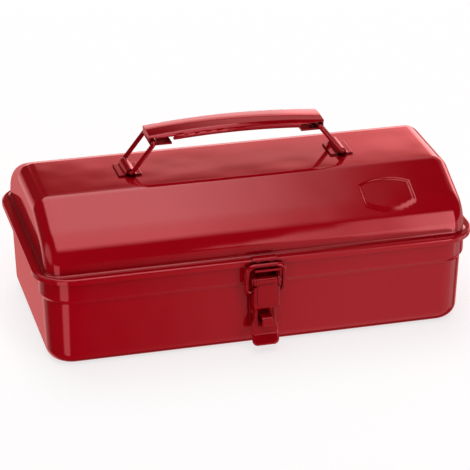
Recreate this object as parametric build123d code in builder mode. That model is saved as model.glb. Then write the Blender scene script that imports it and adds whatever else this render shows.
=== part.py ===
"""Hip roof tool box of pressed, painted steel, in millimetres.

The tray and the lid are deep drawn shells that meet at a rolled rim. Two knuckle
hinges join them behind, an over-centre wire latch with a padlock staple closes them
in front, and an arched grip folds flat on the lid on two wire links.

+X runs along the box, -Y is the latch side and +Z is up. The origin is the middle of
the tray's bottom face.
"""

import os
from math import acos, atan2, cos, degrees, radians, sin, sqrt, tan

from build123d import *

os.makedirs("parts", exist_ok=True)

# Stock
SHEET = 1.0  # sheet of the tray and the lid
PLATE = 1.2  # sheet of the hinges, the latch and the handle
WIRE = 3.0  # wire of the links, the latch loop and all the pins

# Clearances
SEAM = 0.3  # gap between the lid's flange and the tray's rim
LIP_PLAY = 0.5  # sideways gap between the lid's lip and the tray's rim
RUN = 0.05  # radial gap of a wire or pin in its bore
FREE = 0.3  # gap between pieces that pass each other
SEAT = 0.05  # paint between a strip and the curved wall it is welded to

# Body
LENGTH = 290.0  # over the lid's lip, along X
DEPTH = 156.0  # over the lid's lip, along Y
RIM_CORNER = 25.0  # plan radius of the lip's corners
FLANGE_Z = 64.0  # top face of the lid's flange
LIP_DROP = 4.0  # height of the lid's lip
RIM_DROP = 2.5  # height of the turned-down edge of the tray's rim
EDGE_RADIUS = 1.2  # rounding of the two rolled edges

BAND_INSET = 4.3  # from the lip in to the tray's upper band
STEP_INSET = 2.0  # from the upper band in to the wall below the step
STEP_Z = 46.0
STEP_RADIUS = 1.4
DRAFT = 2.0  # degrees, of the tray's wall below the step
FLOOR_RADIUS = 9.0

SKIRT_INSET = 6.8  # from the lip in to the lid's wall
KNUCKLE_Z = 82.0  # where the upright wall and the slope would meet if sharp
CAMBER_RADIUS = 25.0  # rounding between the wall and the slope
RIDGE_Y = 29.0  # half the depth of the flat top
TOP_Z = 100.5
RIDGE_RADIUS = 14.0
END_RADIUS = 11.0  # rounding around the lid's end walls
ROOT_RADIUS = 1.5  # inside corner between the flange and the lid's wall

# Blank pressed field on the front slope
FIELD_INSET = 56.5  # of its middle, in from the lip's end
FIELD_Y = -52.8
FIELD_WIDTH = 34.4
FIELD_HEIGHT = 15.8  # along Y, at its ends
FIELD_CROWN = 4.4  # how far its long sides bow out
FIELD_DEPTH = 0.8

# Hinges
HINGE_INSET = 61.0  # of each hinge's middle, in from the lip's end
HINGE_WIDTH = 40.0
HINGE_Z = 58.0
CURL_OPEN = 70.0  # degrees that each rolled knuckle leaves open
MIDDLE_KNUCKLE = 13.6  # length of the lid leaf's knuckle
LEAF_LOW_Z = 47.4
LEAF_RISE = 10.0  # height of the lid leaf on the camber
LEAF_BEND = 1.2
LEAF_CORNER = 4.0  # of the leaves' free corners

# Handle
PIVOT_X = 71.0  # of the links' lower bars
PIVOT_LIFT = 2.3  # of the lower bars' axis above the lid's top
LINK_LENGTH = 25.5  # between the two bars of a link
LINK_WIDTH = 24.6  # between the side wires of a link
LINK_BEND = 2.4
GRIP_BAR_X = 55.2  # of the links' upper bars with the grip raised
GRIP_TOP_Z = 130.2
GRIP_ARCH = 560.0
GRIP_WIDTH = 24.0
GRIP_SIDE = 5.0  # height of the grip's rolled sides
GRIP_HEM = 2.6
GRIP_ROLL = 0.9  # bend of the hem
GRIP_CROWN = 80.0
GRIP_SHOULDER = 2.6
HOOK_WIDTH = 19.0  # of the folded tabs that hold the bars
HOOK_REACH = 15.0
HOOK_BEND = 1.4
SIDE_WINDOW = 16.0  # length of the cut in each side for the links' wires
BAR_RISE = 1.25  # how far a bar climbs in its hook while the grip folds
BRACKET_WIDTH = 19.6
BRACKET_FOOT = 7.5  # from the bar's axis to the end of a foot
BRACKET_FLANK = 62.0  # degrees from level
BRACKET_BEND = 1.6

# Latch
PIVOT_Y = 3.5  # of the lever's pin, out from the lid's lip
PIVOT_Z = 51.0
LOOP_IN = 2.0  # of the loop's pivot, in from the lever's pin
LOOP_DOWN = 8.0
HOOK_BAR_Y = 3.3  # of the loop's top bar, out from the lip
HOOK_BAR_Z = 61.3
LOOP_WIDTH = 24.0  # between the loop's legs
LOOP_CORNER = 4.5
LOOP_BEND = 2.4
LEVER_WIDTH = 16.8
LEVER_OPEN = 70.0  # degrees that its rolled top leaves open
LEVER_FOLD = 1.0  # rounding of its long edges
TAB_WIDTH = 17.8
WAIST_WIDTH = 14.6  # of the neck between the panel and the tab
WAIST_BEND = 5.0
WAIST_HIGH_Z = 30.0
WAIST_LOW_Z = 21.5
NECK_STEP = 3.4  # of the neck, in from the raised panel
PANEL_LOW_Z = 33.5
NECK_LOW_Z = 16.0
TAB_BEND_Z = 13.5
TAB_TIP_Y = 6.0  # out from the lip
TAB_TIP_Z = 6.4
TAB_BEND = 9.0
TAB_CORNER = 3.5
PAD_WIDTH = 12.4  # of the raised pad on the panel
PAD_TOP_Z = 49.3
PAD_LOW_Z = 35.0
PAD_CORNER = 2.0
PAD_LIFT = 0.6
WINDOW_WIDTH = 10.0
WINDOW_LOW_Z = 18.8
WINDOW_HIGH_Z = 31.4
FLANGE_REACH = 7.0  # depth of the lever's side flanges
FLANGE_CORNER = 3.0
EAR_RADIUS = 3.2
EAR_TOP_Z = 56.0
BASE_TOP_Z = 57.5
BASE_LOW_Z = 15.5
BASE_JOGGLE_Z = 45.6
HEAD_RADIUS = 2.4
HEAD_HEIGHT = 1.2
STAPLE_WIDTH = 7.0
STAPLE_HEIGHT = 7.2
STAPLE_Z = 23.5
STAPLE_OUT = 9.0  # of its crown, out from the lip
STAPLE_FOOT = 4.5
KEEPER_WIDTH = 16.0
KEEPER_FOOT = 4.0  # of its foot on the flange, in from the lip
KEEPER_TIP_Z = 60.0
KEEPER_PLAY = 1.2  # in front of the bar in the hook
KEEPER_LEG = 2.8
KEEPER_WINDOW = 6.0

# Places that follow from the sizes above
LIP_X, LIP_Y = LENGTH / 2, DEPTH / 2
HINGE_X, FIELD_X = LIP_X - HINGE_INSET, LIP_X - FIELD_INSET
FLANGE_LOW = FLANGE_Z - SHEET
LIP_LOW = FLANGE_Z - LIP_DROP
RIM_Z = FLANGE_LOW - SEAM
RIM_X, RIM_Y = LIP_X - SHEET - LIP_PLAY, LIP_Y - SHEET - LIP_PLAY
BAND_X, BAND_Y = LIP_X - BAND_INSET, LIP_Y - BAND_INSET
WALL_X, WALL_Y = BAND_X - STEP_INSET, BAND_Y - STEP_INSET
SKIRT_X, SKIRT_Y = LIP_X - SKIRT_INSET, LIP_Y - SKIRT_INSET
SLOPE = atan2(TOP_Z - KNUCKLE_Z, SKIRT_Y - RIDGE_Y)
CAMBER_Z = KNUCKLE_Z - CAMBER_RADIUS * tan((radians(90) - SLOPE) / 2)
CAMBER_Y = SKIRT_Y - CAMBER_RADIUS
PIN = WIRE / 2
BORE = PIN + RUN
CURL = BORE + PLATE / 2  # radius of a knuckle's middle line
CURL_OUT = BORE + PLATE


def wall_y(z, out=0.0):
    """How far the tray's drafted wall, or a line `out` from it, is from the XZ plane."""
    slope = tan(radians(DRAFT))
    return WALL_Y - (STEP_Z - z) * slope + out * sqrt(1 + slope * slope)


def tray_form(inset, top):
    """The tray's pressed form, `inset` inside its outer face, up to `top`."""
    shoulder = STEP_Z + inset
    with BuildPart() as band:
        with BuildSketch(Plane.XY.offset(shoulder)):
            RectangleRounded(
                2 * (BAND_X - inset), 2 * (BAND_Y - inset), RIM_CORNER - BAND_INSET - inset
            )
        extrude(amount=top - shoulder)
        fillet(band.faces().sort_by(Axis.Z)[0].edges(), STEP_RADIUS)
    with BuildPart() as form:
        with BuildSketch(Plane((0, 0, shoulder), z_dir=(0, 0, -1))):
            RectangleRounded(
                2 * (WALL_X - inset),
                2 * (WALL_Y - inset),
                RIM_CORNER - BAND_INSET - STEP_INSET - inset,
            )
        extrude(amount=shoulder - inset, taper=DRAFT)
        fillet(form.faces().sort_by(Axis.Z)[0].edges(), FLOOR_RADIUS - inset)
        add(band.part)
    return form.part


def lid_form(inset):
    """The lid's camber form, `inset` inside its outer face, from the flange up."""
    base = FLANGE_LOW - inset
    with BuildPart() as form:
        with BuildSketch(Plane.YZ) as section:
            with BuildLine():
                Polyline(
                    (-SKIRT_Y, base),
                    (-SKIRT_Y, KNUCKLE_Z),
                    (-RIDGE_Y, TOP_Z),
                    (RIDGE_Y, TOP_Z),
                    (SKIRT_Y, KNUCKLE_Z),
                    (SKIRT_Y, base),
                    close=True,
                )
            make_face()
            fillet(section.vertices().group_by(Axis.Y)[1], CAMBER_RADIUS)
            fillet(section.vertices().group_by(Axis.Y)[-1], RIDGE_RADIUS)
            if inset:
                offset(amount=-inset)
        half = SKIRT_X - inset
        extrude(amount=half, both=True)
        rounds = form.edges().filter_by(
            lambda e: abs(e.center().X) > half - 0.01 and e.center().Z > FLANGE_LOW + 0.01
        )
        fillet(rounds, END_RADIUS - inset)
    return form.part


def rim_ring(half_x, half_y, corner, low, high):
    """An upright wall of the body sheet round the whole rim."""
    with BuildPart() as ring:
        with BuildSketch(Plane.XY.offset(low)):
            RectangleRounded(2 * half_x, 2 * half_y, corner)
            RectangleRounded(
                2 * (half_x - SHEET), 2 * (half_y - SHEET), corner - SHEET, mode=Mode.SUBTRACT
            )
        extrude(amount=high - low)
    return ring.part


def field_prism():
    """An upright prism over the outline of the pressed field."""
    end, side = FIELD_WIDTH / 2, FIELD_HEIGHT / 2
    with BuildPart() as prism:
        with BuildSketch(Plane((FIELD_X, FIELD_Y, FLANGE_Z))) as outline:
            with BuildLine():
                ThreePointArc((-end, side), (0, side + FIELD_CROWN), (end, side))
                Line((end, side), (end, -side))
                ThreePointArc((end, -side), (0, -side - FIELD_CROWN), (-end, -side))
                Line((-end, -side), (-end, side))
            make_face()
            fillet(outline.vertices(), 1.0)
        extrude(amount=TOP_Z - FLANGE_Z + SHEET)
    return prism.part


# Tray: floor, drafted walls, step, upper band and turned-down rim
tray_outer = tray_form(0, RIM_Z)
tray_inner = tray_form(SHEET, RIM_Z + SHEET)
tray_edge = rim_ring(RIM_X, RIM_Y, RIM_CORNER - SHEET - LIP_PLAY, RIM_Z - RIM_DROP, RIM_Z)
with BuildPart() as tray_shell:
    add(tray_outer)
    with BuildSketch(Plane.XY.offset(RIM_Z - SHEET)):
        RectangleRounded(2 * RIM_X, 2 * RIM_Y, RIM_CORNER - SHEET - LIP_PLAY)
    extrude(amount=SHEET)
    add(tray_edge)
    add(tray_inner, mode=Mode.SUBTRACT)
    rolled = tray_shell.faces().sort_by(Axis.Z)[-1].outer_wire().edges()
    fillet(rolled, SHEET - SEAM)
tray_shell.part.label = "tray_shell"
export_step(tray_shell.part, "parts/tray_shell.step")

# Lid: camber shell, flange and lip, with the blank pressed field
lid_outer = lid_form(0)
lid_inner = lid_form(SHEET)
lid_edge = rim_ring(LIP_X, LIP_Y, RIM_CORNER, LIP_LOW, FLANGE_Z)
prism = field_prism()
with BuildPart() as field_cut:
    add(lid_outer)
    add(lid_form(FIELD_DEPTH), mode=Mode.SUBTRACT)
    add(prism, mode=Mode.INTERSECT)
with BuildPart() as field_back:
    add(lid_inner)
    add(lid_form(SHEET + FIELD_DEPTH), mode=Mode.SUBTRACT)
    add(prism, mode=Mode.INTERSECT)
with BuildPart() as lid_shell:
    add(lid_outer)
    with BuildSketch(Plane.XY.offset(FLANGE_LOW)):
        RectangleRounded(2 * LIP_X, 2 * LIP_Y, RIM_CORNER)
    extrude(amount=SHEET)
    flange_top = lid_shell.faces().filter_by_position(Axis.Z, FLANGE_Z - 0.01, FLANGE_Z + 0.01)[0]
    fillet(flange_top.inner_wires()[0].edges(), ROOT_RADIUS)
    add(lid_edge)
    brim = lid_shell.faces().filter_by_position(Axis.Z, FLANGE_Z - 0.01, FLANGE_Z + 0.01)[0]
    fillet(brim.outer_wire().edges(), EDGE_RADIUS)
    add(lid_inner, mode=Mode.SUBTRACT)
    add(field_cut.part, mode=Mode.SUBTRACT)
    add(field_back.part)
lid_shell.part.label = "lid_shell"
export_step(lid_shell.part, "parts/lid_shell.step")

# Hinges: a leaf on the tray's band, a leaf over the lid's flange, and the pin
HINGE_Y = LIP_Y + FREE + CURL_OUT
leaf_y = BAND_Y + PLATE / 2
flat_z = FLANGE_Z + PLATE / 2
camber = CAMBER_RADIUS + SEAT + PLATE / 2
camber_start = degrees(atan2(flat_z + 2.0 - CAMBER_Z, camber))
camber_rise = degrees(LEAF_RISE / camber)
start = radians(camber_start)
foot = (CAMBER_Y + camber * cos(start), CAMBER_Z + camber * sin(start))
drop = (foot[1] - flat_z) / cos(start)
elbow = (foot[0] + drop * sin(start), flat_z)
for name, side in (("left", -1), ("right", 1)):
    with BuildPart() as hinge_tray_leaf:
        with BuildSketch(Plane.YZ.offset(side * HINGE_X)):
            with BuildLine():
                FilletPolyline(
                    (leaf_y, LEAF_LOW_Z),
                    (leaf_y, HINGE_Z - CURL),
                    (HINGE_Y, HINGE_Z - CURL),
                    radius=LEAF_BEND,
                )
                CenterArc((HINGE_Y, HINGE_Z), CURL, -90, 360 - CURL_OPEN)
            trace(line_width=PLATE)
        extrude(amount=HINGE_WIDTH / 2, both=True)
        with Locations((side * HINGE_X, HINGE_Y, HINGE_Z)):
            Box(
                MIDDLE_KNUCKLE + 2 * FREE,
                2 * (CURL_OUT + FREE),
                2 * (CURL_OUT + FREE),
                mode=Mode.SUBTRACT,
            )
        fillet(hinge_tray_leaf.edges().filter_by(Axis.Y).group_by(Axis.Z)[0], LEAF_CORNER)
    hinge_tray_leaf.part.label = f"hinge_tray_leaf_{name}"
    export_step(hinge_tray_leaf.part, f"parts/hinge_tray_leaf_{name}.step")

    with BuildPart() as hinge_lid_leaf:
        with BuildSketch(Plane.YZ.offset(side * HINGE_X)):
            with BuildLine():
                FilletPolyline(
                    (HINGE_Y - CURL, HINGE_Z),
                    (HINGE_Y - CURL, flat_z),
                    elbow,
                    foot,
                    radius=LEAF_BEND,
                )
                CenterArc((CAMBER_Y, CAMBER_Z), camber, camber_start, camber_rise)
                CenterArc((HINGE_Y, HINGE_Z), CURL, 180, 360 - CURL_OPEN)
            trace(line_width=PLATE)
        extrude(amount=HINGE_WIDTH / 2, both=True)
        beside = (HINGE_WIDTH - MIDDLE_KNUCKLE) / 2
        for end in (-1, 1):
            with Locations((side * HINGE_X + end * (HINGE_WIDTH - beside) / 2, HINGE_Y, HINGE_Z)):
                Box(beside, 2 * (CURL_OUT + FREE), 2 * (CURL_OUT + FREE), mode=Mode.SUBTRACT)
        corners = hinge_lid_leaf.edges().filter_by(Axis.X, reverse=True).filter_by(GeomType.LINE)
        fillet(corners.sort_by(Axis.Z)[-2:], LEAF_CORNER)
    hinge_lid_leaf.part.label = f"hinge_lid_leaf_{name}"
    export_step(hinge_lid_leaf.part, f"parts/hinge_lid_leaf_{name}.step")

    with BuildPart() as hinge_pin:
        with BuildSketch(Plane.YZ.offset(side * HINGE_X)):
            with Locations((HINGE_Y, HINGE_Z)):
                Circle(PIN)
        extrude(amount=HINGE_WIDTH / 2 + RUN, both=True)
        for end in (-1, 1):
            face_x = side * HINGE_X + end * (HINGE_WIDTH / 2 + RUN)
            with BuildSketch(Plane((face_x, HINGE_Y, HINGE_Z), z_dir=(end, 0, 0))):
                Circle(HEAD_RADIUS)
            extrude(amount=HEAD_HEIGHT)
        heads = hinge_pin.edges().filter_by(GeomType.CIRCLE).sort_by(Axis.X)
        chamfer([heads[0], heads[-1]], HEAD_HEIGHT / 3)
    hinge_pin.part.label = f"hinge_pin_{name}"
    export_step(hinge_pin.part, f"parts/hinge_pin_{name}.step")

# Handle: brackets on the lid, wire links and the arched grip
bar_z = TOP_Z + PIVOT_LIFT
link_angle = acos((PIVOT_X - GRIP_BAR_X) / LINK_LENGTH)
grip_bar_z = bar_z + LINK_LENGTH * sin(link_angle)
foot_z = TOP_Z + PLATE / 2
flank = radians(BRACKET_FLANK)
apex_z = bar_z + CURL / cos(flank)
heel = (apex_z - foot_z) / tan(flank)
for name, side in (("left", -1), ("right", 1)):
    with BuildPart() as handle_bracket:
        with BuildSketch(Plane((side * PIVOT_X, 0, 0), x_dir=(1, 0, 0), z_dir=(0, -1, 0))):
            with BuildLine():
                FilletPolyline(
                    (-BRACKET_FOOT, foot_z),
                    (-heel, foot_z),
                    (0, apex_z),
                    (heel, foot_z),
                    (BRACKET_FOOT, foot_z),
                    radius=[BRACKET_BEND, CURL, BRACKET_BEND],
                )
            trace(line_width=PLATE)
        extrude(amount=BRACKET_WIDTH / 2, both=True)
    handle_bracket.part.label = f"handle_bracket_{name}"
    export_step(handle_bracket.part, f"parts/handle_bracket_{name}.step")

    along = (-side * cos(link_angle), 0, sin(link_angle))
    link_plane = Plane(
        (side * PIVOT_X, 0, bar_z), x_dir=(0, 1, 0), z_dir=Vector(0, 1, 0).cross(Vector(along))
    )
    with BuildPart() as handle_link:
        with BuildLine(link_plane):
            ring = FilletPolyline(
                (-LINK_WIDTH / 2, 0),
                (LINK_WIDTH / 2, 0),
                (LINK_WIDTH / 2, LINK_LENGTH),
                (-LINK_WIDTH / 2, LINK_LENGTH),
                radius=LINK_BEND,
                close=True,
            )
        with BuildSketch(Plane(ring @ 0, z_dir=ring % 0)):
            Circle(PIN)
        sweep()
    handle_link.part.label = f"handle_link_{name}"
    export_step(handle_link.part, f"parts/handle_link_{name}.step")

grip_x = GRIP_BAR_X + PIN + FREE + PLATE
grip_axis_z = GRIP_TOP_Z - GRIP_ARCH
half_arc = degrees(atan2(grip_x + 1.0, GRIP_ARCH - GRIP_SIDE))
skin = GRIP_ARCH - PLATE / 2
edge_y = (GRIP_WIDTH - PLATE) / 2
pitch = atan2(edge_y - GRIP_SHOULDER, GRIP_CROWN)
shoulder_y = -edge_y * tan(pitch) + GRIP_CROWN * (1 / cos(pitch) - 1)
apex_y = shoulder_y + edge_y * tan(pitch)
lower_y = -GRIP_SIDE + PLATE / 2
hook_top = grip_bar_z - PIN - FREE
window_z = grip_bar_z + PIN + BAR_RISE + FREE
hook_root = grip_axis_z + sqrt(skin**2 - grip_x**2)
with BuildPart() as grip:
    turn = radians(half_arc)
    start_plane = Plane(
        (-skin * sin(turn), 0, grip_axis_z + skin * cos(turn)),
        x_dir=(0, 1, 0),
        z_dir=(cos(turn), 0, sin(turn)),
    )
    with BuildSketch(start_plane):
        with BuildLine():
            FilletPolyline(
                (-edge_y + GRIP_HEM, lower_y),
                (-edge_y, lower_y),
                (-edge_y, shoulder_y),
                (0, apex_y),
                (edge_y, shoulder_y),
                (edge_y, lower_y),
                (edge_y - GRIP_HEM, lower_y),
                radius=[GRIP_ROLL, GRIP_SHOULDER, GRIP_CROWN, GRIP_SHOULDER, GRIP_ROLL],
            )
        trace(line_width=PLATE)
    revolve(axis=Axis((0, 0, grip_axis_z), (0, 1, 0)), revolution_arc=2 * half_arc)
    for side in (-1, 1):
        with Locations((side * grip_x, 0, GRIP_TOP_Z)):
            Box(
                GRIP_WIDTH,
                2 * GRIP_WIDTH,
                2 * GRIP_WIDTH,
                align=(Align.MIN if side > 0 else Align.MAX, Align.CENTER, Align.CENTER),
                mode=Mode.SUBTRACT,
            )
        for edge in (-1, 1):
            with Locations((side * (grip_x - SIDE_WINDOW / 2), edge * GRIP_WIDTH / 2, window_z)):
                Box(
                    SIDE_WINDOW,
                    GRIP_WIDTH - 2 * (edge_y - GRIP_HEM - FREE),
                    GRIP_WIDTH,
                    align=(Align.CENTER, Align.CENTER, Align.MAX),
                    mode=Mode.SUBTRACT,
                )
        with BuildSketch(Plane.XZ):
            with BuildLine():
                FilletPolyline(
                    (side * (grip_x - PLATE / 2), hook_root),
                    (side * (grip_x - PLATE / 2), hook_top - PLATE / 2),
                    (side * (grip_x - HOOK_REACH), hook_top - PLATE / 2),
                    radius=HOOK_BEND,
                )
            trace(line_width=PLATE)
        extrude(amount=HOOK_WIDTH / 2, both=True)
grip.part.label = "grip"
export_step(grip.part, "parts/grip.step")

# Latch: base with ears, staple, pin, lever, wire loop and the keeper on the lid
front = -LIP_Y
pin_y, pin_z = front - PIVOT_Y, PIVOT_Z
stub_y, stub_z = pin_y + LOOP_IN, pin_z - LOOP_DOWN
hook_y, hook_z = front - HOOK_BAR_Y, HOOK_BAR_Z
half_lever = LEVER_WIDTH / 2
curl_half = half_lever - PLATE - FREE  # of the lever's curl, between the ears
base_y = -BAND_Y - PLATE / 2
with BuildPart() as latch_base:
    with BuildSketch(Plane.YZ):
        with BuildLine():
            FilletPolyline(
                (base_y, BASE_TOP_Z),
                (base_y, BASE_JOGGLE_Z),
                (-wall_y(BASE_JOGGLE_Z - 3, SEAT + PLATE / 2), BASE_JOGGLE_Z - 3),
                (-wall_y(BASE_LOW_Z, SEAT + PLATE / 2), BASE_LOW_Z),
                radius=LEAF_BEND,
            )
        trace(line_width=PLATE)
    extrude(amount=half_lever, both=True)
    for side in (-1, 1):
        with BuildSketch(Plane.YZ.offset(side * (half_lever - PLATE / 2))):
            with Locations((pin_y, pin_z)):
                Circle(EAR_RADIUS)
            with BuildLine():
                Polyline(
                    (base_y, EAR_TOP_Z),
                    (pin_y, pin_z + EAR_RADIUS),
                    (pin_y, pin_z - EAR_RADIUS),
                    (base_y, pin_z - EAR_RADIUS),
                    close=True,
                )
            make_face()
            with Locations((pin_y, pin_z)):
                Circle(BORE, mode=Mode.SUBTRACT)
        extrude(amount=PLATE / 2, both=True)
latch_base.part.label = "latch_base"
export_step(latch_base.part, "parts/latch_base.step")

with BuildPart() as padlock_staple:
    foot_out = SEAT + 1.5 * PLATE + SEAT
    leg_high = STAPLE_Z + (STAPLE_HEIGHT - PLATE) / 2
    leg_low = STAPLE_Z - (STAPLE_HEIGHT - PLATE) / 2
    crown_y = front - STAPLE_OUT + PLATE / 2
    with BuildSketch(Plane.YZ):
        with BuildLine():
            FilletPolyline(
                (-wall_y(leg_high + STAPLE_FOOT, foot_out), leg_high + STAPLE_FOOT),
                (-wall_y(leg_high, foot_out), leg_high),
                (crown_y, leg_high),
                (crown_y, leg_low),
                (-wall_y(leg_low, foot_out), leg_low),
                (-wall_y(leg_low - STAPLE_FOOT, foot_out), leg_low - STAPLE_FOOT),
                radius=[0.8, 1.6, 1.6, 0.8],
            )
        trace(line_width=PLATE)
    extrude(amount=STAPLE_WIDTH / 2, both=True)
padlock_staple.part.label = "padlock_staple"
export_step(padlock_staple.part, "parts/padlock_staple.step")

with BuildPart() as latch_pin:
    with BuildSketch(Plane.YZ):
        with Locations((pin_y, pin_z)):
            Circle(PIN)
    extrude(amount=half_lever + RUN, both=True)
    for end in (-1, 1):
        with BuildSketch(Plane((end * (half_lever + RUN), pin_y, pin_z), z_dir=(end, 0, 0))):
            Circle(HEAD_RADIUS)
        extrude(amount=HEAD_HEIGHT)
    heads = latch_pin.edges().filter_by(GeomType.CIRCLE).sort_by(Axis.X)
    chamfer([heads[0], heads[-1]], HEAD_HEIGHT / 3)
latch_pin.part.label = "latch_pin"
export_step(latch_pin.part, "parts/latch_pin.step")

face_y = pin_y - CURL  # middle line of the lever's panel
neck_y = face_y + NECK_STEP
neck_top = PANEL_LOW_Z - NECK_STEP
tip_y = front - TAB_TIP_Y
flange_y = face_y - PLATE / 2 + FLANGE_REACH
wide_z = pin_z - EAR_RADIUS - FREE  # the lever is wider below the ears


def lever_side(inner, outer):
    """Both sides of the lever seen from the front, between two distances in from its edge."""
    waist, tab = WAIST_WIDTH / 2, TAB_WIDTH / 2
    edge = [
        (half_lever, wide_z),
        (half_lever, PANEL_LOW_Z),
        (waist, WAIST_HIGH_Z),
        (waist, WAIST_LOW_Z),
        (tab, NECK_LOW_Z),
        (tab, TAB_TIP_Z - PLATE),
    ]
    with BuildSketch(Plane.XZ) as sides:
        with BuildLine():
            near = FilletPolyline([(x - inner, z) for x, z in edge], radius=WAIST_BEND)
            far = FilletPolyline([(x - outer, z) for x, z in edge], radius=WAIST_BEND)
            Line(near @ 0, far @ 0)
            Line(near @ 1, far @ 1)
        make_face()
        mirror(about=Plane.YZ)
    return sides.sketch


with BuildPart() as lever_flange:
    with BuildSketch(Plane.YZ) as flank:
        with BuildLine():
            Polyline(
                (face_y, wide_z),
                (flange_y, wide_z),
                (flange_y, NECK_LOW_Z),
                (neck_y, NECK_LOW_Z),
                (neck_y, neck_top),
                (face_y, PANEL_LOW_Z),
                close=True,
            )
        make_face()
        fillet(flank.vertices().group_by(Axis.Z)[0].sort_by(Axis.Y)[-1], FLANGE_CORNER)
    extrude(amount=TAB_WIDTH, both=True)
    extrude(lever_side(PLATE, 0), amount=2 * DEPTH, both=True, mode=Mode.INTERSECT)
with BuildPart() as latch_lever:
    with BuildSketch(Plane.YZ):
        with BuildLine():
            CenterArc((pin_y, pin_z), CURL, 180, LEVER_OPEN - 360)
            Line((face_y, pin_z), (face_y, wide_z - PLATE))
        trace(line_width=PLATE)
    extrude(amount=curl_half, both=True)
    with BuildSketch(Plane.YZ):
        with BuildLine():
            FilletPolyline(
                (face_y, wide_z),
                (face_y, PANEL_LOW_Z),
                (neck_y, neck_top),
                (neck_y, TAB_BEND_Z),
                (tip_y, TAB_TIP_Z),
                radius=[LEAF_BEND, LEAF_BEND, TAB_BEND],
            )
        trace(line_width=PLATE)
    extrude(amount=TAB_WIDTH / 2, both=True)
    extrude(lever_side(0, -TAB_WIDTH), amount=2 * DEPTH, both=True, mode=Mode.SUBTRACT)
    add(lever_flange.part)
    with Locations((0, neck_y, (WINDOW_LOW_Z + WINDOW_HIGH_Z) / 2)):
        Box(WINDOW_WIDTH, 4 * PLATE, WINDOW_HIGH_Z - WINDOW_LOW_Z, mode=Mode.SUBTRACT)
    with Locations((0, stub_y, stub_z)):
        Cylinder(BORE, LEVER_WIDTH, rotation=(0, 90, 0), mode=Mode.SUBTRACT)
    tab_end = latch_lever.edges().filter_by(Axis.X, reverse=True).filter_by(GeomType.LINE)
    fillet(tab_end.sort_by(Axis.Z)[:2], TAB_CORNER)
    upright = latch_lever.edges().filter_by(Axis.Z)
    folds = [
        upright.sort_by_distance((side * half_lever, face_y - PLATE / 2, PANEL_LOW_Z))[0]
        for side in (-1, 1)
    ]
    fillet(folds, LEVER_FOLD)
    pad_plane = Plane(
        (0, face_y, (PAD_TOP_Z + PAD_LOW_Z) / 2), x_dir=(1, 0, 0), z_dir=(0, -1, 0)
    )
    with BuildSketch(pad_plane):
        RectangleRounded(PAD_WIDTH, PAD_TOP_Z - PAD_LOW_Z, PAD_CORNER)
    extrude(amount=PLATE / 2 + PAD_LIFT)
latch_lever.part.label = "latch_lever"
export_step(latch_lever.part, "parts/latch_lever.step")

loop_rise = Vector(0, hook_y - stub_y, hook_z - stub_z)
loop_plane = Plane(
    (0, stub_y, stub_z), x_dir=(1, 0, 0), z_dir=Vector(1, 0, 0).cross(loop_rise)
)
stub_x = half_lever - PLATE - 1.0
with BuildPart() as latch_loop:
    with BuildLine(loop_plane):
        wire = FilletPolyline(
            (-stub_x, 0),
            (-LOOP_WIDTH / 2, 0),
            (-LOOP_WIDTH / 2, loop_rise.length),
            (LOOP_WIDTH / 2, loop_rise.length),
            (LOOP_WIDTH / 2, 0),
            (stub_x, 0),
            radius=[LOOP_BEND, LOOP_CORNER, LOOP_CORNER, LOOP_BEND],
        )
    with BuildSketch(Plane(wire @ 0, z_dir=wire % 0)):
        Circle(PIN)
    sweep()
latch_loop.part.label = "latch_loop"
export_step(latch_loop.part, "parts/latch_loop.step")

keeper_back = front - FREE - PLATE / 2
keeper_floor = hook_z - PIN - FREE - PLATE / 2
keeper_front = hook_y - PIN - KEEPER_PLAY - PLATE / 2
with BuildPart() as latch_keeper:
    with BuildSketch(Plane.YZ):
        with BuildLine():
            FilletPolyline(
                (front + KEEPER_FOOT, flat_z),
                (keeper_back, flat_z),
                (keeper_back, keeper_floor),
                (keeper_front, keeper_floor),
                (keeper_front, KEEPER_TIP_Z),
                radius=[LEAF_BEND, 0.8, 0.8],
            )
        trace(line_width=PLATE)
    extrude(amount=KEEPER_WIDTH / 2, both=True)
    leg_zone = (keeper_floor + PLATE, flat_z - PLATE)
    with Locations((0, keeper_back, sum(leg_zone) / 2)):
        Box(KEEPER_WINDOW, 2 * PLATE, leg_zone[1] - leg_zone[0], mode=Mode.SUBTRACT)
    for side in (-1, 1):
        outside = KEEPER_WIDTH / 2 - KEEPER_WINDOW / 2 - KEEPER_LEG
        with Locations((side * (KEEPER_WIDTH - outside) / 2, keeper_back, sum(leg_zone) / 2)):
            Box(outside, 2 * PLATE, leg_zone[1] - leg_zone[0], mode=Mode.SUBTRACT)
latch_keeper.part.label = "latch_keeper"
export_step(latch_keeper.part, "parts/latch_keeper.step")

print("link angle", round(degrees(link_angle), 3), "grip bar z", round(grip_bar_z, 3))
print("hook underside to lid top", round(hook_top - PLATE - TOP_Z, 3))
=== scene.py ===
"""Hip roof tool box in glossy red enamel, in a studio. Everything is in metres."""

from functools import cache
from math import atan2, ceil, cos, pi, radians, sin, tan

import bmesh
import bpy
from mathutils import Matrix, Vector


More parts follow.
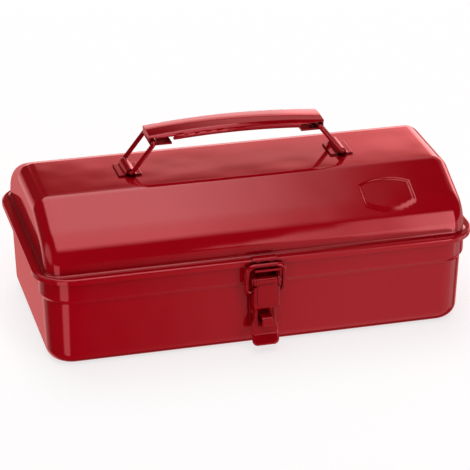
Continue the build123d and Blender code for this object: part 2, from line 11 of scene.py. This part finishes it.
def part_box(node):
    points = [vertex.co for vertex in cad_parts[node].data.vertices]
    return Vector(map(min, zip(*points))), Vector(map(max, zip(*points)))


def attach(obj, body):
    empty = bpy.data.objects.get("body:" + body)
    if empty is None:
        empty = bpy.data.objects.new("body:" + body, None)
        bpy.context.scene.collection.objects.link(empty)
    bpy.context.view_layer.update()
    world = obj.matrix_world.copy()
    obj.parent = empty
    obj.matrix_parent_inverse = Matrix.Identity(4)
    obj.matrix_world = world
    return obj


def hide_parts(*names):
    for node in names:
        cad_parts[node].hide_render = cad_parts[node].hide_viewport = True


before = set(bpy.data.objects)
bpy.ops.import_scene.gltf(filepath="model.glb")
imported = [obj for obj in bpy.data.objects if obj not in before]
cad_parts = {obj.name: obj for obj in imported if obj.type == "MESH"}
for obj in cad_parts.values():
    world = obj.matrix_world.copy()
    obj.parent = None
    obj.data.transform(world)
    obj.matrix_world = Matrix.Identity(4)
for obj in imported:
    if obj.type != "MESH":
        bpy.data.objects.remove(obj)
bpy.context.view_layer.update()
MM = 0.001

# Sheet and rims, as in the CAD model
SHEET = 1.0 * MM
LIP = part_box("lid_shell")[1]  # half length, half depth and top of the lid
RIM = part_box("tray_shell")[1]  # half length, half depth and top of the tray
RIM_CORNER = 25 * MM
RIM_DROP = 2.5 * MM
RIM_ROUND = 0.9 * MM
FLANGE_Z = 64 * MM
LIP_DROP = 4 * MM
EDGE_ROUND = 1.2 * MM
CUT_ROUND = 0.35 * MM  # of the sheet's cut edges under their paint

# Tray
BAND_INSET = 4.3 * MM  # of the upper band, in from the lip
STEP_INSET = 2.0 * MM  # of the wall below the step, in from the band
STEP_Z = 46 * MM
STEP_RISE = 1.0 * MM  # of the step's slope, above and below its middle
STEP_ROUND = 2.3 * MM
DRAFT = radians(2)
FLOOR_ROUND = 9 * MM
FLOOR_INSET = 45 * MM  # of the innermost ring of the floor
LEAST_CORNER = 4 * MM  # radius at the corners of the inner rings

# Lid
SKIRT = Vector((LIP.x, LIP.y)) - Vector((6.8, 6.8)) * MM  # half size over the walls
KNUCKLE_Z = 82 * MM
CAMBER_ROUND = 25 * MM
RIDGE_Y = 29 * MM
RIDGE_ROUND = 14 * MM
END_ROUND = 11 * MM
ROOT_ROUND = 1.5 * MM
SLOPE = atan2(LIP.z - KNUCKLE_Z, SKIRT.y - RIDGE_Y)

# Blank pressed field on the front slope
FIELD_AT = Vector((88.5, -52.8)) * MM
FIELD_HALF = Vector((17.2, 7.9)) * MM
FIELD_CROWN = 4.0 * MM
FIELD_DEPTH = 0.8 * MM
FIELD_SHOULDER = 1.5 * MM

# How finely the shells are divided
TRAY_COLUMNS, TRAY_ROWS = 36, 18
TRAY_SPAN = 7 * MM  # longest stretch between two rings
COLUMN = 5 * MM
FINE_COLUMN = 0.35 * MM  # over the field
FINE_MARGIN = 1 * MM  # of fine columns beside the field
WALL_ROWS, CAMBER_ROWS, RIDGE_ROWS, TOP_ROWS = 2, 22, 8, 4
FRONT_ROWS, BACK_ROWS = 110, 12  # of the slopes
INSIDE_ROWS = 60  # of the front slope on the inside
ROOT_ROWS = 6
END_ROWS = 24
CORNER_STEPS = 20
ARC_STEP = radians(6)
ARC_LEAST = 3  # steps in the shortest arc
SLACK = 1e-6  # by how much a count may be over
WELD = 0.001 * MM  # points nearer to each other than this are joined

# Paint
SHELL_RED = 0.455, 0.001, 0.008
# The fittings wear the shells' red, painted darker here as painted shade on the small parts.
FITTING_RED_SHADED = 0.37, 0.0005, 0.006
TINTS = 0.93, 1.05  # how far the red wanders
SHELL_WAVES = 0.12 * MM
FITTING_WAVES = 0.03 * MM
PEEL_WAVES = 0.003 * MM
TINT_NOISE, WAVE_NOISE, PEEL_NOISE = (35, 3), (28, 1), (900, 2)  # cells to the metre, detail
FITTING_GLOSS = 0.7
FITTING_EDGE = 0.35 * MM
GAP_SHADE_REACH = 5 * MM  # painted shade: how near the sides of a gap must be for each to darken the other's paint colour
RAYS = 8  # of the painted shade in gaps and of the rounding of edges

# Floor
FLOOR_HALF = 8
FLOOR_GREY = 0.4
FLOOR_ROUGHNESS = 0.9
FLOOR_GLOW = 0.72

# Edges that lights share: a coordinate of the direction, where it is dark and where it is lit
REAR = "y", 0.3, 0.6
BELOW = "z", 0.02, -0.05
BACKDROP = REAR, ("x", -0.22, -0.08)
SWEEP = *BACKDROP, ("z", -0.02, 0.02), ("z", 0.390, 0.378)
BROW = *BACKDROP, ("z", 0.378, 0.390), ("z", 0.397, 0.390)
LOW_SIDES = ("slant", 0.215, 0.245), ("across", 1.0, 0.8), ("y", -0.1, -0.3)
LOW = *LOW_SIDES, ("rise", 0.85, 0.65), ("rise", -0.50, -0.40)

# The low soft box stands on its corner: where that is, and how its two edges there lean
CORNER_RISE = 0.09
HIGH_LEAN, DEEP_LEAN = 0.2, 0.33

# The studio's lights, each as its white, the red added to it, and its edges
AMBIENT = 0.02
LIGHTS = {
    # Mirrored by the lid's slope and camber
    "overhead": (1.75, 0, ("z", 0.58, 0.80), ("x", 0.312, 0.195), ("x", -0.55, -0.35)),
    "low": (0.85, 0, *LOW),
    "low_left": (0.45, 0, *LOW, ("x", 0.28, 0.24)),
    "low_right": (1.4, 0, *LOW, ("x", 0.29, 0.32)),
    # Mirrored by the lid's flat top and the grip
    "sweep": (0.40, 0.88, *SWEEP),
    "sweep_right": (0.18, 0.396, *SWEEP, ("x", 0.28, 0.31)),
    "sweep_foot": (0.60, 0, *BACKDROP, ("z", -0.02, 0.02), ("z", 0.36, 0.28)),
    "sweep_brow": (0.38, 0.836, *BROW, ("x", 0.14, 0.21), ("x", 0.33, 0.28)),
    "upper": (0.30, 0.36, *BACKDROP, ("x", 0.10, 0.24), ("z", 0.402, 0.430), ("z", 0.85, 0.60)),
    # Mirrored by the end walls and the upright corners
    "right_corner": (0.5, 0, BELOW, ("x", 0.83, 0.89)),
    "left_side": (0.7, 0, ("x", -0.85, -0.97), ("z", -0.15, 0.0)),
    "left_rear": (0.23, 0, REAR, ("x", -0.18, -0.26), ("z", -0.10, -0.20)),
    # Mirrored by the tray's walls, in place of the floor
    "under_front": (0.42, 0, BELOW, ("y", 0.0, -0.3), ("x", 0.14, 0.29)),
    "under_left": (1.0, 0, BELOW, ("y", -0.55, -0.65), ("x", -0.25, -0.35)),
    "under_rear": (0.15, 0.5, BELOW, REAR, ("x", -0.62, -0.45)),
}

# The photograph's view
AZIMUTH, ELEVATION, ROLL = radians(14.75), radians(24.7), radians(0.08)
DISTANCE = 1.55621
AIM = Vector((1.19, 42.02)) * MM  # right and up of the origin, in the picture's plane
FOCAL_PIXELS, FRAME_PIXELS = 2317.29, 470


def arc_path(points, radii):
    """The points of a 2-D polyline whose inner corners are rounded to the given radii."""
    path = [Vector(points[0])]
    for before, corner, after, radius in zip(points, points[1:], points[2:], radii):
        corner = Vector(corner)
        back, on = (Vector(before) - corner).normalized(), (Vector(after) - corner).normalized()
        turn = pi - back.angle(on)
        reach = radius * tan(turn / 2)
        centre = corner + (back + on).normalized() * (radius / cos(turn / 2))
        first, last = corner + back * reach - centre, corner + on * reach - centre
        side = 1 if first.x * last.y > first.y * last.x else -1
        steps = max(ARC_LEAST, ceil(turn / ARC_STEP))
        path += [centre + Matrix.Rotation(side * turn * i / steps, 2) @ first for i in range(steps + 1)]
    return path + [Vector(points[-1])]


def stretches(length, step):
    """How many equal stretches, none of them over step, make up a length."""
    return max(1, ceil(length / step - SLACK))


def parts(count, start=0.0, stop=1.0):
    """Evenly spaced values from start to stop, with count stretches between them."""
    return [start + (stop - start) * i / count for i in range(count + 1)]


def spread(start, stop, step):
    """Evenly spaced values from start to stop, no further apart than step."""
    return parts(stretches(stop - start, step), start, stop)


def divide(path, step):
    """The path with its long straight stretches divided, so that none is over step."""
    points = [path[0]]
    for a, b in zip(path, path[1:]):
        points += [a.lerp(b, t) for t in parts(stretches((b - a).length, step))[1:]]
    return points


def ring(half_x, half_y, corner, z, columns, rows):
    """A rounded rectangle at height z, anticlockwise from the left end of its front side."""
    points = []
    flat_x, flat_y = half_x - corner, half_y - corner
    for quarter, (x, y) in enumerate(((1, -1), (1, 1), (-1, 1), (-1, -1))):
        if quarter % 2 == 0:
            points += [(x * flat_x * (2 * t - 1), y * half_y) for t in columns]
        else:
            points += [(x * half_x, y * flat_y * (2 * t - 1)) for t in rows]
        for i in range(1, CORNER_STEPS):
            angle = pi / 2 * (quarter - 1 + i / CORNER_STEPS)
            points.append((x * flat_x + corner * cos(angle), y * flat_y + corner * sin(angle)))
    return [Vector((px, py, z)) for px, py in points]


class Skin:
    """A painted surface that is collected patch by patch and then joined."""

    def __init__(self):
        self.form = bmesh.new()

    def patch(self, lines, closed=False):
        """Quads between lines that have as many points each."""
        rows = [[self.form.verts.new(p) for p in line] for line in lines]
        for a, b in zip(rows, rows[1:]):
            for i in range(0 if closed else 1, len(a)):
                self.form.faces.new((a[i - 1], a[i], b[i], b[i - 1]))

    def cap(self, points):
        """One flat face."""
        self.form.faces.new([self.form.verts.new(p) for p in points])

    def finish(self, name, body, node):
        """Joins the patches into a piece that rides on a body and stands for a CAD node."""
        bmesh.ops.remove_doubles(self.form, verts=self.form.verts, dist=WELD)
        bmesh.ops.recalc_face_normals(self.form, faces=self.form.faces)
        mesh = bpy.data.meshes.new(name)
        self.form.to_mesh(mesh)
        self.form.free()
        mesh.shade_smooth()
        piece = bpy.data.objects.new(name, mesh)
        bpy.context.scene.collection.objects.link(piece)
        evened = piece.modifiers.new("even_normals", "WEIGHTED_NORMAL")
        evened.mode = "FACE_AREA"
        evened.weight = 100
        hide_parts(node)
        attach(piece, body)
        return piece


def build_tray():
    """The tray: up its outside from the floor, over the rolled rim and down its inside."""
    wall = BAND_INSET + STEP_INSET
    foot = wall + STEP_Z * tan(DRAFT)
    inner_foot = foot + SHEET / cos(DRAFT) - SHEET * tan(DRAFT)
    rim = LIP.x - RIM.x
    rim_low = RIM.z - RIM_DROP
    outline = [
        (FLOOR_INSET, 0),
        (foot, 0),
        (wall, STEP_Z - STEP_RISE),
        (BAND_INSET, STEP_Z + STEP_RISE),
        (BAND_INSET, RIM.z - SHEET),
        (rim + SHEET, RIM.z - SHEET),
        (rim + SHEET, rim_low),
        (rim, rim_low),
        (rim, RIM.z),
        (BAND_INSET + SHEET, RIM.z),
        (BAND_INSET + SHEET, STEP_Z + SHEET / 2 + STEP_RISE),
        (wall + SHEET, STEP_Z + SHEET / 2 - STEP_RISE),
        (inner_foot, SHEET),
        (FLOOR_INSET, SHEET),
    ]
    radii = [
        FLOOR_ROUND,
        STEP_ROUND,
        STEP_ROUND,
        CUT_ROUND,
        CUT_ROUND,
        CUT_ROUND,
        CUT_ROUND,
        RIM_ROUND,
        RIM_ROUND,
        STEP_ROUND,
        STEP_ROUND,
        FLOOR_ROUND - SHEET,
    ]
    columns, rows = parts(TRAY_COLUMNS), parts(TRAY_ROWS)
    rings = [
        ring(LIP.x - inset, LIP.y - inset, max(RIM_CORNER - inset, LEAST_CORNER), z, columns, rows)
        for inset, z in divide(arc_path(outline, radii), TRAY_SPAN)
    ]
    tray = Skin()
    tray.patch(rings, closed=True)
    tray.cap(rings[0])
    tray.cap(rings[-1])
    return tray.finish("tray_skin", "tray", "tray_shell")


def lid_section(inset, low, front_rows):
    """The lid's cross section at an inset, from z = low in front over the top to the back."""
    top = LIP.z - inset
    foot_y = SKIRT.y - inset
    knuckle_z = KNUCKLE_Z + inset * tan(SLOPE) - inset / cos(SLOPE)
    ridge_y = foot_y - (top - knuckle_z) / tan(SLOPE)
    camber, ridge = CAMBER_ROUND - inset, RIDGE_ROUND - inset
    wall_z = knuckle_z - camber * tan((pi / 2 - SLOPE) / 2)
    flat_y = ridge_y - ridge * tan(SLOPE / 2)

    def arc(y, z, radius, start, stop, count):
        turns = parts(count, start, stop)
        return [Vector((y - radius * cos(a), z + radius * sin(a))) for a in turns]

    wall = [Vector((-foot_y, low + (wall_z - low) * t)) for t in parts(WALL_ROWS)[:-1]]
    shoulder = arc(camber - foot_y, wall_z, camber, 0, pi / 2 - SLOPE, CAMBER_ROWS)
    crest = arc(-flat_y, top - ridge, ridge, pi / 2 - SLOPE, pi / 2, RIDGE_ROWS)
    flat = [crest[-1].lerp(Vector((0, top)), t) for t in parts(TOP_ROWS)[1:-1]]

    def half(rows):
        slope = [shoulder[-1].lerp(crest[0], t) for t in parts(rows)[1:-1]]
        return wall + shoulder + slope + crest + flat

    back = [Vector((-p.x, p.y)) for p in reversed(half(BACK_ROWS))]
    return half(front_rows) + [Vector((0, top))] + back


def lid_columns(depth):
    """(x, inset) of the lid's columns at a depth in the sheet, fine over the pressed field."""
    flat, turn = SKIRT.x - END_ROUND, END_ROUND - depth
    near, far = (FIELD_AT.x + side * (FIELD_HALF.x + FINE_MARGIN) for side in (-1, 1))
    xs = spread(-flat, near, COLUMN) + spread(near, far, FINE_COLUMN)[1:] + spread(far, flat, COLUMN)[1:]
    angles = parts(CORNER_STEPS, 0, pi / 2)[1:]
    end = [(flat + turn * sin(a), depth + turn * (1 - cos(a))) for a in angles]
    return [(-x, inset) for x, inset in reversed(end)] + [(x, depth) for x in xs] + end


def press(point):
    """Moves a point of the front slope into the blank pressed field."""
    x, y = point.x - FIELD_AT.x, point.y - FIELD_AT.y
    side = FIELD_HALF.y + FIELD_CROWN * (1 - min(1, (x / FIELD_HALF.x) ** 2))
    inside = min(FIELD_HALF.x - abs(x), (side - abs(y)) / cos(SLOPE)) / FIELD_SHOULDER
    t = min(1, max(0, inside))
    return point - Vector((0, -sin(SLOPE), cos(SLOPE))) * FIELD_DEPTH * t * t * (3 - 2 * t)


def build_lid():
    """The lid: its camber outside and inside, the end walls, the root, the flange and the lip."""
    lid = Skin()
    flat = SKIRT.x - END_ROUND
    columns = [(x + flat) / (2 * flat) for x, inset in lid_columns(0) if not inset]
    rows = parts(END_ROWS)

    def wall_ring(inset, z):
        return ring(SKIRT.x - inset, SKIRT.y - inset, END_ROUND - inset, z, columns, rows)

    outside = 0, FLANGE_Z + ROOT_ROUND, FRONT_ROWS
    inside = SHEET, FLANGE_Z - SHEET, INSIDE_ROWS
    for depth, low, front_rows in (outside, inside):
        lines = [
            [press(Vector((x, p.x, p.y))) for p in lid_section(inset, low, front_rows)]
            for x, inset in lid_columns(depth)
        ]
        lid.patch(lines)
        for line in (lines[0], lines[-1]):
            base = [line[-1].lerp(line[0], t) for t in rows[1:-1]]
            lid.cap(line + base)

    turns = parts(ROOT_ROWS, 0, pi / 2)
    root = [(ROOT_ROUND * (cos(a) - 1), FLANGE_Z + ROOT_ROUND * (1 - sin(a))) for a in turns]
    outline = [
        (BAND_INSET, FLANGE_Z),
        (0, FLANGE_Z),
        (0, FLANGE_Z - LIP_DROP),
        (SHEET, FLANGE_Z - LIP_DROP),
        (SHEET, FLANGE_Z - SHEET),
        (BAND_INSET, FLANGE_Z - SHEET),
    ]
    rings = [wall_ring(inset, z) for inset, z in root]
    for inset, z in arc_path(outline, [EDGE_ROUND, CUT_ROUND, CUT_ROUND, CUT_ROUND]):
        rings.append(ring(LIP.x - inset, LIP.y - inset, RIM_CORNER - inset, z, columns, rows))
    rings.append(wall_ring(SHEET, FLANGE_Z - SHEET))
    lid.patch(rings, closed=True)
    return lid.finish("lid_skin", "lid", "lid_shell")


def enamel(name, colour, waves, gloss=1.0, edge=0.0):
    """Glossy stove enamel: a red gloss under a hard clear surface with faint orange peel.

    waves is how far the sheet under the paint is out of true, gloss is how much clear
    surface there is, and edge rounds the edges.
    """
    material = bpy.data.materials.new(name)
    material.use_nodes = True
    nodes, links = material.node_tree.nodes, material.node_tree.links
    shader = nodes["Principled BSDF"]
    shader.inputs["Roughness"].default_value = 0.08
    shader.inputs["IOR"].default_value = 1.6
    shader.inputs["Specular IOR Level"].default_value = 1.0
    shader.inputs["Specular Tint"].default_value = (1, 0, 0.03, 1)
    shader.inputs["Coat Weight"].default_value = gloss
    shader.inputs["Coat Roughness"].default_value = 0.05
    shader.inputs["Coat IOR"].default_value = 1.5
    place = nodes.new("ShaderNodeTexCoord")

    def noise(scale, detail):
        node = nodes.new("ShaderNodeTexNoise")
        node.inputs["Scale"].default_value = scale
        node.inputs["Detail"].default_value = detail
        links.new(place.outputs["Object"], node.inputs["Vector"])
        return node.outputs["Fac"]

    tint = nodes.new("ShaderNodeMix")
    tint.data_type = "RGBA"
    first, second, mixed = tint.inputs[6], tint.inputs[7], tint.outputs[2]
    for socket, factor in zip((first, second), TINTS):
        socket.default_value = (*(factor * c for c in colour), 1)
    links.new(noise(*TINT_NOISE), tint.inputs["Factor"])
    # Painted shade: the paint colour is darkened where other surfaces are near, in gaps, creases and
    # under parts.
    painted_gap_shade = nodes.new("ShaderNodeAmbientOcclusion")
    painted_gap_shade.samples = RAYS
    painted_gap_shade.inputs["Distance"].default_value = GAP_SHADE_REACH
    links.new(mixed, painted_gap_shade.inputs["Color"])
    links.new(painted_gap_shade.outputs["Color"], shader.inputs["Base Color"])

    normal = None
    if edge:
        rounding = nodes.new("ShaderNodeBevel")
        rounding.samples = RAYS
        rounding.inputs["Radius"].default_value = edge
        normal = rounding.outputs["Normal"]
    for height, distance in ((noise(*WAVE_NOISE), waves), (noise(*PEEL_NOISE), PEEL_WAVES)):
        bump = nodes.new("ShaderNodeBump")
        bump.inputs["Strength"].default_value = 1.0
        bump.inputs["Distance"].default_value = distance
        links.new(height, bump.inputs["Height"])
        if normal:
            links.new(normal, bump.inputs["Normal"])
        normal = bump.outputs["Normal"]
    links.new(normal, shader.inputs["Coat Normal"])
    links.new(normal, shader.inputs["Normal"])
    return material


def paint(piece, material):
    """Gives a piece one material."""
    piece.data.materials.clear()
    piece.data.materials.append(material)


def build_floor():
    """A pale floor that glows a little. The paint mirrors the studio's lower half instead."""
    mesh = bpy.data.meshes.new("floor")
    corners = [(x * FLOOR_HALF, y * FLOOR_HALF, 0) for x, y in ((-1, -1), (1, -1), (1, 1), (-1, 1))]
    mesh.from_pydata(corners, [], [(0, 1, 2, 3)])
    floor = bpy.data.objects.new("floor", mesh)
    bpy.context.scene.collection.objects.link(floor)
    floor.visible_glossy = False
    material = bpy.data.materials.new("pale_floor")
    material.use_nodes = True
    shader = material.node_tree.nodes["Principled BSDF"]
    shader.inputs["Base Color"].default_value = (FLOOR_GREY, FLOOR_GREY, FLOOR_GREY, 1)
    shader.inputs["Roughness"].default_value = FLOOR_ROUGHNESS
    shader.inputs["Emission Color"].default_value = (1, 1, 1, 1)
    shader.inputs["Emission Strength"].default_value = FLOOR_GLOW
    paint(floor, material)


def build_studio():
    """The studio as a world shader: LIGHTS, by direction from the box."""
    world = bpy.data.worlds.new("studio")
    bpy.context.scene.world = world
    world.use_nodes = True
    nodes, links = world.node_tree.nodes, world.node_tree.links
    place = nodes.new("ShaderNodeTexCoord")
    split = nodes.new("ShaderNodeSeparateXYZ")
    links.new(place.outputs["Generated"], split.inputs[0])

    def math(kind, *values):
        node = nodes.new("ShaderNodeMath")
        node.operation = kind
        for socket, value in zip(node.inputs, values):
            if isinstance(value, (int, float)):
                socket.default_value = value
            else:
                links.new(value, socket)
        return node.outputs[0]

    x, y, z = split.outputs
    ahead = math("MULTIPLY", y, -1)
    across, rise = math("DIVIDE", x, ahead), math("DIVIDE", z, ahead)
    high = math("MULTIPLY", math("SUBTRACT", rise, CORNER_RISE), HIGH_LEAN)
    deep = math("MULTIPLY", math("SUBTRACT", CORNER_RISE, rise), DEEP_LEAN)
    slant = math("SUBTRACT", across, math("MAXIMUM", high, deep))
    coordinates = {"x": x, "y": y, "z": z, "across": across, "rise": rise, "slant": slant}

    @cache
    def step(coordinate, dark, lit):
        """Runs smoothly from 0 where it is dark to 1 where it is lit."""
        node = nodes.new("ShaderNodeMapRange")
        node.interpolation_type = "SMOOTHSTEP"
        node.inputs["From Min"].default_value = min(dark, lit)
        node.inputs["From Max"].default_value = max(dark, lit)
        node.inputs["To Min"].default_value = 0 if dark < lit else 1
        node.inputs["To Max"].default_value = 1 if dark < lit else 0
        links.new(coordinates[coordinate], node.inputs["Value"])
        return node.outputs[0]

    def shine(colour, light):
        """The light in one colour."""
        background = nodes.new("ShaderNodeBackground")
        background.inputs["Color"].default_value = colour
        links.new(light, background.inputs["Strength"])
        return background.outputs[0]

    white, red = AMBIENT, 0.0
    for brightness, redness, *edges in LIGHTS.values():
        shape = 1.0
        for edge in edges:
            shape = math("MULTIPLY", shape, step(*edge))
        white = math("ADD", white, math("MULTIPLY", shape, brightness))
        if redness:
            red = math("ADD", red, math("MULTIPLY", shape, redness))
    both = nodes.new("ShaderNodeAddShader")
    links.new(shine((1, 1, 1, 1), white), both.inputs[0])
    links.new(shine((1, 0, 0, 1), red), both.inputs[1])
    links.new(both.outputs[0], nodes["World Output"].inputs["Surface"])


def build_camera():
    """The camera, aimed past the origin by AIM."""
    forward = Vector((sin(AZIMUTH) * cos(ELEVATION), cos(AZIMUTH) * cos(ELEVATION), -sin(ELEVATION)))
    level = Vector((cos(AZIMUTH), -sin(AZIMUTH), 0))
    up = level.cross(forward)
    right = level * cos(ROLL) + up * sin(ROLL)
    up = up * cos(ROLL) - level * sin(ROLL)
    lens = bpy.data.cameras.new("camera")
    lens.lens = lens.sensor_width * FOCAL_PIXELS / FRAME_PIXELS
    camera = bpy.data.objects.new("camera", lens)
    bpy.context.scene.collection.objects.link(camera)
    eye = right * AIM.x + up * AIM.y - forward * DISTANCE
    turn = Matrix((right, up, -forward)).transposed().to_4x4()
    camera.matrix_world = Matrix.Translation(eye) @ turn
    bpy.context.scene.camera = camera


shell_enamel = enamel("shell_enamel", SHELL_RED, SHELL_WAVES)
# The fittings' enamel is the shells' enamel with its colour darkened as painted shade.
fitting_enamel_shaded = enamel("fitting_enamel_shaded", FITTING_RED_SHADED, FITTING_WAVES, FITTING_GLOSS, FITTING_EDGE)
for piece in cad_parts.values():
    paint(piece, fitting_enamel_shaded)
paint(build_tray(), shell_enamel)
paint(build_lid(), shell_enamel)
build_floor()
build_studio()
build_camera()
bpy.context.scene.view_settings.view_transform = "Standard"
